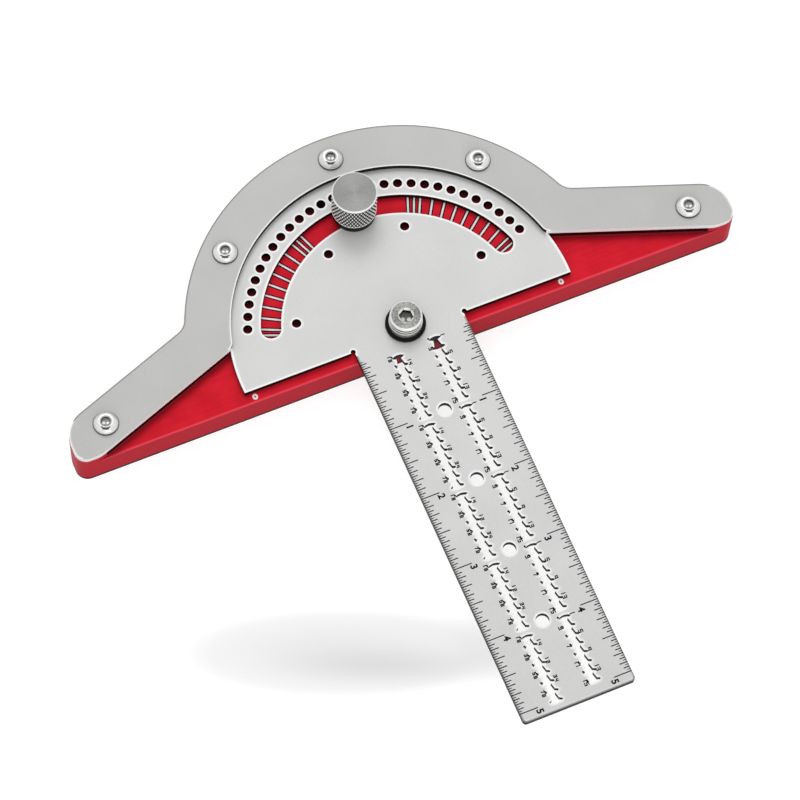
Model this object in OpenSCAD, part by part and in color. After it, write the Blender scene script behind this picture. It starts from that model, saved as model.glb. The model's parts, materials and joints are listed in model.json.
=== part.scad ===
// Angle finder with a fence, a turning head plate that carries a rule blade, and a lock knob.
// The origin is on the underside, below the pivot axis. X runs along the fence, Y towards the arc, Z up.

/* [Fence base] */
// Height of the recessed floor that the head plate turns on
floor_h = 11.5; // [9:0.5:16]
// Half the length of the fence
half_l = 113.2; // [108:0.2:130]
// Distance from the pivot axis forward to the fence face
fence_y = 6.4; // [5:0.1:9]
// Width of the raised border round the arc
border_w = 14.8; // [12:0.1:20]
// Angle between the arms and the fence face
arm_angle = 20; // [18:0.5:22]
// Width of the arms' raised border
arm_w = 15.1; // [13.8:0.1:20]
// Distance from the fence's end to where the arm's inner edge meets the fence face
foot_l = 7.3; // [6.8:0.1:16]
// Radius of the hollow corner between arc and arm
root_r = 6; // [2:0.5:12]
// Radius of the arm's outer end corner
end_r = 10; // [5:0.5:10.5]
// Radius of the arm's front end corner
front_r = 4; // [1.5:0.5:4.5]
// Depth of the holes for an index pin
pin_depth = 6; // [3:0.5:8]
// Angle of the outer pin holes to either side of the arc's middle
pin_a = 10; // [10:5:20]
// Radius of the soft corner between the arm's inner edge and the fence face
toe_r = 10; // [4:1:11]

/* [Cover band] */
// Thickness of the cover band
band_t = 2; // [1:0.1:3]
// How far the band reaches over the head plate's rim
head_cover = 0.85; // [0.4:0.05:2]
// Radius of the corner between the band's inner arc and its arms
lip_r = 3; // [1:0.5:5]
// How far the band stays inside the base's outline
band_inset = 0.1; // [0:0.05:0.4]

/* [Head plate and blade] */
// Thickness of the head plate and blade
plate_t = 2; // [1.5:0.1:3]
// Radius of the half-round head plate
head_r = 56.15; // [52:0.05:64]
// Distance from the pivot axis to the head plate's straight edge
chord_y = 3; // [1:0.2:5]
// Width of the blade
blade_w = 37.4; // [34:0.2:42]
// Reading of the last inch mark on the blade
blade_inches = 5; // [3:1:10]
// Plain length beyond the last mark
blade_tail = 3.2; // [1:0.2:8]
// Radius of the blade's end corners
blade_corner_r = 1.2; // [0.4:0.2:3]
// Radius of the relief cut where the blade meets the head
relief_r = 0.8; // [0.4:0.1:1.5]
// Diameter of the pencil and centring holes on the blade's centre line
blade_hole_d = 4.3; // [3:0.1:6]

/* [Index holes and arc slot] */
// Diameter of the index holes
index_d = 3; // [2:0.1:3.4]
// Distance of the outer index circle from the head plate's rim
index_edge = 6.15; // [3.5:0.05:8]
// Angle between neighbouring index holes
index_step = 5; // [5:1:10]
// Largest angle of the head to either side
swing = 70; // [50:1:70]
// Web between the outer index holes and the arc slot
slot_web = 2.65; // [1.5:0.05:5]
// Web between the arc slot and the inner index holes
inner_web = 3.35; // [1.5:0.05:6]
// Angle of the nearer pair of inner index holes
inner_index_a = 22.5; // [15:2.5:30]

/* [Pencil ladders] */
// Distance of each ladder slot from the blade's middle
ladder_x = 6.65; // [6:0.05:8]
// Width of a ladder's straight channel
ladder_w = 1.5; // [1:0.1:2]
// How far the channel's walls lean out above each notch
ladder_lean = 0.5; // [0:0.05:0.6]
// Depth of each pencil notch beyond the channel
notch_d = 1.4; // [0.9:0.05:1.5]
// Height of each pencil notch from its blunt end up to its mouth
notch_m = 0.45; // [0.3:0.05:0.7]

/* [Pivot] */
// Outer diameter of the pivot bush
bush_d = 9; // [8:0.2:9.6]
// Depth of the bush's seat in the base
bush_seat = 3; // [2:0.5:4]
// Diameter of the pivot screw's shank
pivot_d = 6; // [5:0.5:6]
// Diameter of the pivot screw's head
pivot_head_d = 10.2; // [9.6:0.1:10.6]
// Height of the pivot screw's head
pivot_head_h = 3.9; // [3:0.1:5]
// Width across the flats of the pivot screw's socket
pivot_hex = 4; // [3:0.5:5]
// Depth of the pivot screw's socket
pivot_socket_h = 2.4; // [1.5:0.1:2.6]
// Diameter of the black thrust washer
thrust_d = 13; // [12:0.5:15]
// Thickness of the black thrust washer
thrust_t = 1; // [0.5:0.1:1.5]
// Diameter of the steel washer under the head
steel_d = 10.8; // [10.6:0.1:11.6]
// Thickness of the steel washer under the head
steel_t = 1.65; // [1:0.05:2.2]

/* [Lock] */
// Diameter of the lock stud
stud_d = 6; // [5:0.5:6]
// Clearance between the lock stud and the sides of the arc slot
stud_gap = 0.25; // [0.15:0.05:0.4]
// Diameter of the knurled knob
knob_d = 14.6; // [12:0.2:16]
// Height of the knob
knob_h = 11.5; // [9:0.5:14]
// Size of the knob's edge chamfers
knob_chamfer = 0.5; // [0.2:0.1:1]
// Depth to which the stud is pressed into the knob
stud_grip = 8; // [5:0.5:8.5]
// Diameter of the black clamping washer
pad_d = 14; // [12:0.2:15]
// Thickness of the black clamping washer
pad_t = 2.2; // [1:0.1:3]
// Diameter of the steel washer under the knob
shim_d = 12.6; // [10:0.2:14]
// Thickness of the steel washer under the knob
shim_t = 0.6; // [0.4:0.1:1.2]

/* [Thread inserts] */
// Outer diameter of the steel thread inserts
insert_d = 8; // [7.6:0.1:8.4]
// Length of the pivot's thread insert
pivot_insert_l = 6; // [4:0.5:6]
// Length of the lock's thread insert
lock_insert_l = 8; // [5:0.5:8]

/* [Band screws] */
// Distance of the arm screws from the fence's ends
arm_screw_end = 11.9; // [9:0.1:20]
// Distance of the arm screws from the arms' inner edge
arm_screw_side = 7.2; // [5:0.1:8.5]
// Angle of the arc's side screws
arc_screw_a = 45; // [40:1:50]
// Diameter of the band screws' shank
screw_d = 4; // [3:0.5:4]
// Diameter of the band screws' head
screw_head_d = 7.8; // [6.5:0.1:8.2]
// Height of the band screws' head
screw_head_h = 2.2; // [1.6:0.1:2.6]
// Diameter of the flat on top of the head
screw_flat_d = 4.4; // [3.6:0.1:5]
// Depth that the band screws reach into the base
screw_l = 8; // [6:0.5:9]
// Width across the flats of the band screws' socket
screw_hex = 2.5; // [2:0.1:2.8]
// Depth of the band screws' socket
screw_socket_h = 1.3; // [0.8:0.1:1.5]

/* [Fits] */
// Gap between the head plate's rim and the wall of the base's recess
rim_gap = 0.25; // [0.1:0.05:0.5]
// Gap between the turning plate and what lies above and below it
run_gap = 0.05; // [0.03:0.01:0.1]
// Radial clearance of the pivot bush in the head plate
bush_gap = 0.05; // [0.03:0.01:0.08]
// Radial clearance of shanks in their threads and washers
thread_gap = 0.05; // [0.03:0.01:0.08]

/* [Hidden] */
INCH = 25.4;
$fn = 96;
// Overshoot of cutting bodies past the faces that they cut
eps = 0.5;
// Coarseness of the outlines' arcs
arc_coarse = 16;
// Heights, from the underside up
plate_z = floor_h + run_gap;
plate_top = plate_z + plate_t;
base_h = plate_top + run_gap;
band_top = base_h + band_t;
bush_top = plate_top + 2 * run_gap;
thrust_top = bush_top + thrust_t;
steel_top = thrust_top + steel_t;
pad_z = plate_top + run_gap;
pad_top = pad_z + pad_t;
shim_top = pad_top + shim_t;
stud_top = shim_top + stud_grip;
// How far the lock's insert lies below the floor
insert_cap = 0.3;
lock_insert_top = floor_h - insert_cap;
lock_insert_z = lock_insert_top - lock_insert_l;
bush_z = floor_h - bush_seat;
pivot_insert_z = bush_z - pivot_insert_l;
// Clear depth below each shank's end
blind_gap = 0.5;
pivot_end = pivot_insert_z + blind_gap;
stud_end = lock_insert_z + blind_gap;

// Radii about the pivot axis
band_r = head_r - head_cover;
recess_r = head_r + rim_gap;
arc_r = band_r + border_w;
arc_screw_r = (band_r + arc_r) / 2;
slot_w = stud_d + 2 * stud_gap;
index_r = head_r - index_edge;
slot_r = index_r - index_d / 2 - slot_web - slot_w / 2;
inner_index_r = slot_r - slot_w / 2 - inner_web - index_d / 2;
// Index holes on each side of the middle one
stops = floor(swing / index_step);
// Angle that the slot reaches past the swing, so that the stud stays clear of its ends
slot_extra = 0.3;

// Places along the blade
blade_zero = -fence_y;
blade_end = blade_zero - blade_inches * INCH - blade_tail;

// Chamfer on the ends of the pivot screw and the lock stud
shank_chamfer = 0.6;
// Chamfer on the ends of the band screws
screw_chamfer = 0.4;
// Height of the upright rim of the band screws' head
screw_rim_h = 0.35;

// Unit vectors along the right arm and square to it
arm_u = [cos(arm_angle), -sin(arm_angle)];
arm_n = [sin(arm_angle), cos(arm_angle)];

// Distances from the pivot axis to the arms' inner and outer edges
arm_in = (half_l - foot_l) * arm_n[0] - fence_y * arm_n[1];
arm_out = arm_in + arm_w;

// Height above the X axis of an arm line at distance d from the pivot, at place x
function arm_line(d, x) = (d - x * arm_n[0]) / arm_n[1];

arm_screw_x = half_l - arm_screw_end;
arm_screw_y = arm_line(arm_in + arm_screw_side, arm_screw_x);

// Places of the band screws
screw_places = [
    [-arm_screw_x, arm_screw_y], [arm_screw_x, arm_screw_y],
    for (a = [-arc_screw_a, 0, arc_screw_a]) [arc_screw_r * sin(a), arc_screw_r * cos(a)]
];

// Points along an arc about c from angle a to angle b, more of them on a larger arc
function arc(c, r, a, b, first = 0) =
    let (n = max(3, ceil(abs(b - a) * sqrt(r) / arc_coarse)))
    [for (i = [first:n]) let (t = a + (b - a) * i / n) c + r * [cos(t), sin(t)]];

// The right half of an outline, then its mirror image on the left
function mirrored(half) = [each half, for (i = [len(half) - 1:-1:0]) if (half[i][0] > 0) [-half[i][0], half[i][1]]];

// Right half of the base's outline, drawn in by inset, from the top of the arc round to the fence face
function outer_half(inset) =
    let (
        r_out = arc_r - inset,
        d_out = arm_out - inset,
        end_x = half_l - inset,
        root_n = d_out + root_r,
        root_c = arm_n * root_n + arm_u * sqrt(pow(r_out + root_r, 2) - pow(root_n, 2)),
        root_a = atan2(root_c[1], root_c[0]),
        end_c = [end_x - end_r, arm_line(d_out - end_r, end_x - end_r)],
        front_c = [end_x - front_r, front_r + inset - fence_y]
    )
    [
        each arc([0, 0], r_out, 90, root_a),
        each arc(root_c, root_r, root_a + 180, 270 - arm_angle, 1),
        each arc(end_c, end_r, 90 - arm_angle, 0),
        each arc(front_c, front_r, 0, -90)
    ];

// Goes on from the fence face along the arm's inner edge to the top of the inner arc, of radius r_in
function inner_half(inset, r_in) =
    let (
        toe_y = toe_r + inset - fence_y,
        toe_c = [(arm_in + toe_r - toe_y * arm_n[1]) / arm_n[0], toe_y],
        lip_n = arm_in + lip_r,
        lip_c = arm_n * lip_n + arm_u * sqrt(pow(r_in + lip_r, 2) - pow(lip_n, 2)),
        lip_a = atan2(lip_c[1], lip_c[0])
    )
    [
        each arc(toe_c, toe_r, 270, 270 - arm_angle),
        each arc(lip_c, lip_r, 270 - arm_angle, lip_a + 180),
        each arc([0, 0], r_in, lip_a, 90, 1)
    ];

// Arc and both arms as a band that is open towards the blade
module border(inset, r_in) {
    polygon(mirrored([each outer_half(inset), each inner_half(inset, r_in)]));
}

module at_screws() {
    for (place = screw_places) translate(place) children();
}

module hole(r, low, high) {
    translate([0, 0, low]) cylinder(r = r, h = high - low);
}

module fence_base() {
    color([0.78, 0.10, 0.18])
        difference() {
            union() {
                linear_extrude(floor_h) polygon(mirrored(outer_half(0)));
                translate([0, 0, floor_h]) linear_extrude(base_h - floor_h) border(0, recess_r);
            }
            at_screws() hole(screw_d / 2 + thread_gap, base_h - screw_l - blind_gap, base_h + eps);
            hole(bush_d / 2, bush_z, floor_h + eps);
            hole(insert_d / 2, pivot_insert_z, bush_z + eps);
            translate([0, slot_r, 0]) hole(insert_d / 2, lock_insert_z, floor_h + eps);
            for (side = [-1, 1], at = [[pin_a, index_r], [2 * inner_index_a, inner_index_r]])
                rotate(side * at[0]) translate([0, at[1], 0]) hole(index_d / 2, floor_h - pin_depth, floor_h + eps);
        }
}

module cover_band() {
    color([0.78, 0.78, 0.77])
        difference() {
            translate([0, 0, base_h]) linear_extrude(band_t) border(band_inset, band_r);
            at_screws() hole(screw_d / 2 + thread_gap, base_h - eps, band_top + eps);
        }
}

// Slot that the lock stud runs in, on the pivot's own circle
module arc_slot() {
    end_a = 90 - swing - slot_extra;
    w = slot_w / 2;
    polygon(mirrored([
        each arc([0, 0], slot_r + w, 90, end_a),
        each arc(slot_r * [cos(end_a), sin(end_a)], w, end_a, end_a - 180, 1),
        each arc([0, 0], slot_r - w, end_a, 90, 1)
    ]));
}

// Outline of one inch of a pencil ladder: an arched cap at the top, then blunt notches on both sides
module ladder(first, pitch, count) {
    w = ladder_w / 2;
    m = notch_m;
    tip = w + notch_d;
    soft = 0.15;
    cap = tip - soft;
    arch = 0.4;
    notch = [[w + ladder_lean, m], [cap, m / 3], [tip, 0], [tip, -2 * m / 3], [cap, -m], [w, -5 * m / 3]];
    side = [
        [0, first + arch + m / 2],
        [cap * 0.6, first + arch],
        [cap, first],
        [cap, first - m / 2],
        [w, first - 5 * m / 3],
        for (i = [1:count - 1], p = notch) [p[0], first - i * pitch + p[1]]
    ];
    polygon([each side, for (i = [len(side) - 1:-1:1]) [-side[i][0], side[i][1]]]);
}

module ladders() {
    step = INCH / 8;
    for (k = [0:blade_inches - 1]) {
        inch_y = blade_zero - k * INCH;
        translate([-ladder_x, inch_y]) ladder(-step, step, 8);
        translate([ladder_x, inch_y]) ladder(-step / 2, step, 8);
    }
}

// Half-round head and blade in one outline
module blade_outline() {
    half = blade_w / 2;
    r = blade_corner_r;
    polygon(mirrored([
        each arc([0, 0], head_r, 90, -asin(chord_y / head_r)),
        [half, -chord_y],
        each arc([half - r, blade_end + r], r, 0, -90)
    ]));
}

module blade_plate() {
    color([0.82, 0.82, 0.81])
        difference() {
            translate([0, 0, plate_z]) linear_extrude(plate_t)
                difference() {
                    blade_outline();
                    arc_slot();
                    ladders();
                }
            hole(bush_d / 2 + bush_gap, plate_z - eps, plate_top + eps);
            for (i = [-stops:stops])
                rotate(i * index_step) translate([0, index_r, 0]) hole(index_d / 2, plate_z - eps, plate_top + eps);
            for (a = [-3, -1, 1, 3] * inner_index_a)
                rotate(a) translate([0, inner_index_r, 0]) hole(index_d / 2, plate_z - eps, plate_top + eps);
            for (k = [1:blade_inches - 1])
                translate([0, blade_zero - k * INCH, 0]) hole(blade_hole_d / 2, plate_z - eps, plate_top + eps);
            for (x = [-1, 1] * (blade_w / 2 + relief_r / 2))
                translate([x, -chord_y + relief_r / 4, 0]) hole(relief_r, plate_z - eps, plate_top + eps);
        }
}

// Six-sided socket, cut down from the top face
module socket(across, top, depth) {
    translate([0, 0, top - depth]) rotate(30) cylinder(d = across / cos(30), h = depth + eps, $fn = 6);
}

// Half section of a domed head that falls from a flat top of radius top_r to the rim
module dome_section(rim_r, top_r, rim_h, head_h) {
    steps = 8;
    polygon([
        [0, 0],
        for (i = [0:steps])
            let (t = 90 * i / steps) [top_r + (rim_r - top_r) * cos(t), rim_h + (head_h - rim_h) * sin(t)],
        [0, head_h]
    ]);
}

// Domed screw with a six-sided socket, its head standing on height seat
module button_screw(seat, length) {
    shank_r = screw_d / 2;
    end = seat - length;
    difference() {
        union() {
            translate([0, 0, seat])
                rotate_extrude() dome_section(screw_head_d / 2, screw_flat_d / 2, screw_rim_h, screw_head_h);
            hole(shank_r, end + screw_chamfer, seat + screw_rim_h / 2);
            translate([0, 0, end]) cylinder(r1 = shank_r - screw_chamfer, r2 = shank_r, h = screw_chamfer);
        }
        socket(screw_hex, seat + screw_head_h, screw_socket_h);
    }
}

module band_screws() {
    color([0.86, 0.86, 0.84]) at_screws() button_screw(band_top, screw_l + band_t);
}

module ring(outer_r, inner_r, low, high) {
    difference() {
        hole(outer_r, low, high);
        hole(inner_r, low - eps, high + eps);
    }
}

module pivot_bush() {
    color([0.72, 0.58, 0.34]) ring(bush_d / 2, pivot_d / 2 + thread_gap, bush_z, bush_top);
}

module pivot_insert() {
    color([0.55, 0.56, 0.57]) ring(insert_d / 2, pivot_d / 2 + thread_gap, pivot_insert_z, bush_z);
}

module lock_insert() {
    color([0.55, 0.56, 0.57])
        translate([0, slot_r, 0]) ring(insert_d / 2, stud_d / 2 + thread_gap, lock_insert_z, lock_insert_top);
}

module thrust_washer() {
    color([0.06, 0.06, 0.06]) ring(thrust_d / 2, pivot_d / 2 + thread_gap, bush_top, thrust_top);
}

module steel_washer() {
    color([0.75, 0.75, 0.74]) ring(steel_d / 2, pivot_d / 2 + thread_gap, thrust_top, steel_top);
}

module pivot_screw() {
    r = pivot_head_d / 2;
    shank_r = pivot_d / 2;
    top = steel_top + pivot_head_h;
    rim = top - shank_chamfer;
    mouth = pivot_hex / 2 + shank_chamfer;
    color([0.80, 0.80, 0.78])
        difference() {
            union() {
                translate([0, 0, pivot_end]) cylinder(r1 = shank_r - shank_chamfer, r2 = shank_r, h = shank_chamfer);
                hole(shank_r, pivot_end + shank_chamfer, steel_top + eps);
                hole(r, steel_top, rim);
                translate([0, 0, rim]) cylinder(r1 = r, r2 = r - shank_chamfer, h = shank_chamfer);
            }
            socket(pivot_hex, top, pivot_socket_h);
            // Chamfered mouth of the socket
            translate([0, 0, rim - shank_chamfer / 2])
                cylinder(r1 = mouth - 1.5 * shank_chamfer, r2 = mouth + shank_chamfer / 2, h = 2 * shank_chamfer);
        }
}

module clamp_pad() {
    color([0.06, 0.06, 0.06])
        translate([0, slot_r, 0]) ring(pad_d / 2, stud_d / 2 + thread_gap, pad_z, pad_top);
}

module knob_shim() {
    color([0.75, 0.75, 0.74])
        translate([0, slot_r, 0]) ring(shim_d / 2, stud_d / 2 + thread_gap, pad_top, shim_top);
}

module lock_stud() {
    r = stud_d / 2;
    color([0.70, 0.70, 0.69])
        translate([0, slot_r, 0]) {
            hole(r, stud_end + shank_chamfer, stud_top);
            translate([0, 0, stud_end]) cylinder(r1 = r - shank_chamfer, r2 = r, h = shank_chamfer);
        }
}

module lock_knob() {
    r = knob_d / 2;
    c = knob_chamfer;
    color([0.80, 0.80, 0.78])
        translate([0, slot_r, shim_top + run_gap])
            rotate_extrude()
                polygon([
                    [stud_d / 2, 0], [r - c, 0], [r, c], [r, knob_h - c], [r - c, knob_h],
                    [0, knob_h], [0, stud_grip - run_gap], [stud_d / 2, stud_grip - run_gap]
                ]);
}

fence_base();
cover_band();
blade_plate();
band_screws();
pivot_bush();
pivot_insert();
pivot_screw();
thrust_washer();
steel_washer();
lock_insert();
lock_stud();
lock_knob();
clamp_pad();
knob_shim();
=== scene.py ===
"""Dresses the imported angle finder: finishes, graduations, knurled knob, turned screws, camera and studio."""

import json
import logging
import math
from collections.abc import Callable, Iterable
from dataclasses import dataclass, field
from enum import Enum
from typing import NamedTuple

import bpy
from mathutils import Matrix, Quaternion, Vector


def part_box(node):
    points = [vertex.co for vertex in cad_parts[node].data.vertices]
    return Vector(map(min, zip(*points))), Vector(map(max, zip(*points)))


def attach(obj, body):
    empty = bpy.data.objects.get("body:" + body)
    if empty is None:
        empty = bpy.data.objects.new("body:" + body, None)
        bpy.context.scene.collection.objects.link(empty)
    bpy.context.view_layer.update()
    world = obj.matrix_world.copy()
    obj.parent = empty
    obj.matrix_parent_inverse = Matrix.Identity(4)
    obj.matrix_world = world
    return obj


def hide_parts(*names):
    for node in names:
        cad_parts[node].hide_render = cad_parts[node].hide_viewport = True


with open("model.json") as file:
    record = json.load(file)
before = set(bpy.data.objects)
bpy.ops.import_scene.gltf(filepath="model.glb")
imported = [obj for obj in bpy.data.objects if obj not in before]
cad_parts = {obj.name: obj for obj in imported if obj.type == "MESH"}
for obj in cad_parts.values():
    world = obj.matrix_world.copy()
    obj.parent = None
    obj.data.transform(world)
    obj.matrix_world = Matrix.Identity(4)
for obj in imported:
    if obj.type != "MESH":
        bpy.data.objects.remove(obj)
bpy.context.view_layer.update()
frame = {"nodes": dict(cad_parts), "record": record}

log = logging.getLogger("angle_finder")

MM = 0.001
INCH = 25.4

ARM_TURN = math.radians(20.0)
RIGHTWARD = (0.926, -0.378)
DOWNWARD = (-0.389, -0.921)

Point2 = tuple[float, float]
Point3 = tuple[float, float, float]
Colour = tuple[float, float, float]
Faces = list[tuple[int, ...]]
Glyph = tuple[list[Point3], Faces]
Socket = bpy.types.NodeSocket
Material = bpy.types.Material
Object = bpy.types.Object
Value = Socket | float
Inputs = dict[str | int, object]

WHITE: Colour = (1.0, 1.0, 1.0)


class Body(Enum):
    """The bodies that pieces ride on."""

    FENCE = "fence"
    BLADE = "blade"
    CLAMP = "clamp"
    KNOB = "knob"


class Slot(Enum):
    """The record's material slots."""

    RED = "red_anodised"
    BAND = "satin_band"
    PLATE = "satin_plate"
    BRIGHT = "bright_steel"
    TURNED = "turned_steel"
    BRONZE = "bronze"
    INSERT = "insert_steel"
    BLACK = "black_polymer"


class Side(Enum):
    """The two sides of the blade and of the fence."""

    LEFT = -1
    RIGHT = 1


class Layer(NamedTuple):
    """The lower and the upper height of thin marks, in millimetres."""

    low: float
    high: float


@dataclass(frozen=True)
class Heights:
    """Heights above the underside, in millimetres."""

    floor: float
    plate_top: float
    band_top: float

    @classmethod
    def from_frame(cls, run_gap: float = 0.05) -> "Heights":
        """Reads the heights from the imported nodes.

        Args:
            run_gap: Clearance between the base's floor and the plate.

        Returns:
            The heights of the base's floor, the plate and the band.
        """
        plate_low, plate_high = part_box("blade_plate")
        band_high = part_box("cover_band")[1]
        return cls(plate_low.z / MM - run_gap, plate_high.z / MM, band_high.z / MM)


@dataclass(frozen=True)
class Round:
    """The size and place of a round upright node, in millimetres."""

    centre: Point2
    radius: float
    bottom: float
    top: float

    @classmethod
    def from_node(cls, name: str) -> "Round":
        """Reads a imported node.

        Args:
            name: The node's name.

        Returns:
            Its size and place.
        """
        low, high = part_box(name)
        centre = ((low.x + high.x) / 2 / MM, (low.y + high.y) / 2 / MM)
        return cls(centre, (high.x - low.x) / 2 / MM, low.z / MM, high.z / MM)


def linked(name: str, data: bpy.types.ID) -> Object:
    """Puts data in the scene.

    Args:
        name: The new object's name.
        data: The mesh, curve, lamp or camera.

    Returns:
        The new object.
    """
    obj = bpy.data.objects.new(name, data)
    bpy.context.scene.collection.objects.link(obj)
    return obj


def on_photo(right: float, down: float) -> Point2:
    """Returns the level vector that goes so far right and so far down on the photograph."""
    return right * RIGHTWARD[0] + down * DOWNWARD[0], right * RIGHTWARD[1] + down * DOWNWARD[1]


class Shade:
    """Short ways to add and join the nodes of one material or world, with the colour laid so far."""

    def __init__(self, name: str, kind: str = "materials") -> None:
        """Starts an empty node tree.

        Args:
            name: The name of the material or world.
            kind: The collection of the file's data that it joins.
        """
        self.holder = getattr(bpy.data, kind).new(name)
        self.holder.use_nodes = True
        self.nodes = self.holder.node_tree.nodes
        self.links = self.holder.node_tree.links
        self.nodes.clear()
        self.colour: Socket | Colour = WHITE

    def add(self, kind: str, inputs: Inputs | None = None, **settings: object) -> bpy.types.Node:
        """Adds a node.

        Args:
            kind: The node's type name.
            inputs: Values, colours or output sockets for its inputs, by name or number.
            **settings: The node's own properties.

        Returns:
            The new node.
        """
        node = self.nodes.new(kind)
        for key, value in settings.items():
            setattr(node, key, value)
        for key, value in (inputs or {}).items():
            socket = node.inputs[key]
            if isinstance(value, Socket):
                self.links.new(value, socket)
            elif socket.type == "RGBA":
                socket.default_value = (*value, 1.0)
            else:
                socket.default_value = value
        return node

    def place(self) -> Socket:
        """Returns the place on the piece, in metres."""
        return self.add("ShaderNodeTexCoord").outputs["Object"]

    def stretched(self, scale: Point3) -> Socket:
        """Returns the place, stretched by a factor on each axis."""
        return self.add("ShaderNodeMapping", {"Vector": self.place(), "Scale": scale}).outputs[0]

    def spot(self) -> Socket:
        """Returns the place as seen from above, in millimetres."""
        return self.stretched((1 / MM, 1 / MM, 0.0))

    def normal(self) -> Socket:
        """Returns the face's own normal."""
        return self.add("ShaderNodeNewGeometry").outputs["True Normal"]

    def parts(self, vector: Socket) -> list[Socket]:
        """Returns the three parts of a vector."""
        return list(self.add("ShaderNodeSeparateXYZ", {0: vector}).outputs)

    def math(self, kind: str, *values: Value) -> Socket:
        """Returns the result of a Math node on the values."""
        return self.add("ShaderNodeMath", dict(enumerate(values)), operation=kind).outputs[0]

    def vector(self, kind: str, first: Socket, second: Socket | Point3) -> Socket:
        """Returns the number that a Vector Math node finds for two vectors."""
        return self.add("ShaderNodeVectorMath", {0: first, 1: second}, operation=kind).outputs["Value"]

    def less(self, value: Socket, limit: float) -> Socket:
        """Returns 1 where a value is below a limit, else 0."""
        return self.math("LESS_THAN", value, limit)

    def more(self, value: Socket, limit: float) -> Socket:
        """Returns 1 where a value is above a limit, else 0."""
        return self.math("GREATER_THAN", value, limit)

    def among(self, value: Socket, low: float, high: float) -> Socket:
        """Returns 1 where a value lies between two limits, else 0."""
        return self.both(self.more(value, low), self.less(value, high))

    def off(self, mask: Socket) -> Socket:
        """Returns what a mask leaves out."""
        return self.math("SUBTRACT", 1.0, mask)

    def both(self, *masks: Value) -> Value:
        """Joins masks.

        Args:
            *masks: Two masks or more, or one alone.

        Returns:
            Their product.
        """
        result = masks[0]
        for mask in masks[1:]:
            result = self.math("MULTIPLY", result, mask)
        return result

    def blend(self, first: Socket, second: Socket, share: float) -> Socket:
        """Returns the mean of two values, the first one weighed by its share."""
        return self.math("ADD", self.both(first, share), self.both(second, 1.0 - share))

    def noise(self, scale: float, detail: float = 3.0, vector: Socket | None = None) -> Socket:
        """Adds a noise texture.

        Args:
            scale: Its scale, in cells per metre.
            detail: Its octaves.
            vector: Where it is read, the place on the piece when left out.

        Returns:
            The noise value.
        """
        inputs = {"Vector": vector or self.place(), "Scale": scale, "Detail": detail}
        return self.add("ShaderNodeTexNoise", inputs).outputs[0]

    def rings(self, radius: Socket, pitch: float) -> Socket:
        """Returns waves from -1 to 1 along a radius, one at each pitch."""
        return self.math("SINE", self.math("MULTIPLY", radius, 2 * math.pi / pitch))

    def span(self, value: Socket, low: float, high: float, first: float = 0.0, last: float = 1.0) -> Socket:
        """Maps a value from one range to another, clamped.

        Args:
            value: The value.
            low: The range's start.
            high: The range's end.
            first: What the start becomes.
            last: What the end becomes.

        Returns:
            The mapped value.
        """
        inputs = {0: value, 1: low, 2: high, 3: first, 4: last}
        return self.add("ShaderNodeMapRange", inputs).outputs[0]

    def rough(self, grain: Socket, middle: float, less: float = 0.05, more: float = 0.06) -> Socket:
        """Returns a roughness that goes a little below and above its middle with the grain."""
        return self.span(grain, 0.3, 0.7, middle - less, middle + more)

    def mottle(self, level: Socket, dark: Colour, light: Colour, spread: float = 0.15) -> None:
        """Starts the colour from a pattern.

        Args:
            level: The pattern, with its middle near 0.5.
            dark: The colour where it is low.
            light: The colour where it is high.
            spread: How far from 0.5 the two colours are full.
        """
        self.colour = dark
        self.lay(light, self.span(level, 0.5 - spread, 0.5 + spread))

    def lay(self, colour: Colour, *masks: Value) -> None:
        """Lays a colour over the one so far, where the product of the masks says."""
        inputs = {"Factor": self.both(*masks), 6: self.colour, 7: colour}
        self.colour = self.add("ShaderNodeMix", inputs, data_type="RGBA").outputs[2]

    def upward(self) -> Socket:
        """Returns how level a face is: 1 on level faces and 0 on upright ones."""
        return self.math("ABSOLUTE", self.parts(self.normal())[2])

    def wall(self) -> Socket:
        """Returns 1 on upright faces and 0 on level ones."""
        return self.less(self.upward(), 0.5)

    def facing(self, way: Point2) -> Socket:
        """Returns how far a face leans towards a level direction, from -1 to 1."""
        return self.vector("DOT_PRODUCT", self.normal(), (*way, 0.0))

    def height(self) -> Socket:
        """Returns the height above the underside, in millimetres."""
        return self.math("DIVIDE", self.parts(self.place())[2], MM)

    def radius(self, centre: Point2 = (0.0, 0.0)) -> Socket:
        """Returns the distance from an upright axis, in millimetres."""
        return self.vector("DISTANCE", self.spot(), (*centre, 0.0))

    def past_arms(self) -> Socket:
        """Measures from the pivot towards the back, square to the arms.

        Returns:
            The distance, in millimetres.
        """
        x, y, _ = self.parts(self.place())
        lean = self.math("MULTIPLY", self.math("ABSOLUTE", x), math.sin(ARM_TURN) / MM)
        return self.math("MULTIPLY_ADD", y, math.cos(ARM_TURN) / MM, lean)

    def nearest_axis(self, places: list[Point2]) -> Socket:
        """Measures from the nearest of several upright axes.

        Args:
            places: The axes.

        Returns:
            The distance, in millimetres.
        """
        nearest = self.radius(places[0])
        for place in places[1:]:
            nearest = self.math("MINIMUM", nearest, self.radius(place))
        return nearest

    def glints(self, centres: list[Point2], side: float, drop: float, radius: float) -> Socket:
        """Finds the two painted glints on the floor of each hex socket.

        Args:
            centres: The sockets' axes.
            side: How far the spots lie to each side on the photograph, in millimetres.
            drop: How far they lie down on it.
            radius: Their radius.

        Returns:
            1 in the spots and 0 beyond them.
        """
        shifts = [on_photo(sign * side, drop) for sign in (-1, 1)]
        spots = [(x + dx, y + dy) for x, y in centres for dx, dy in shifts]
        return self.span(self.nearest_axis(spots), radius, 0.6 * radius)

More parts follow.
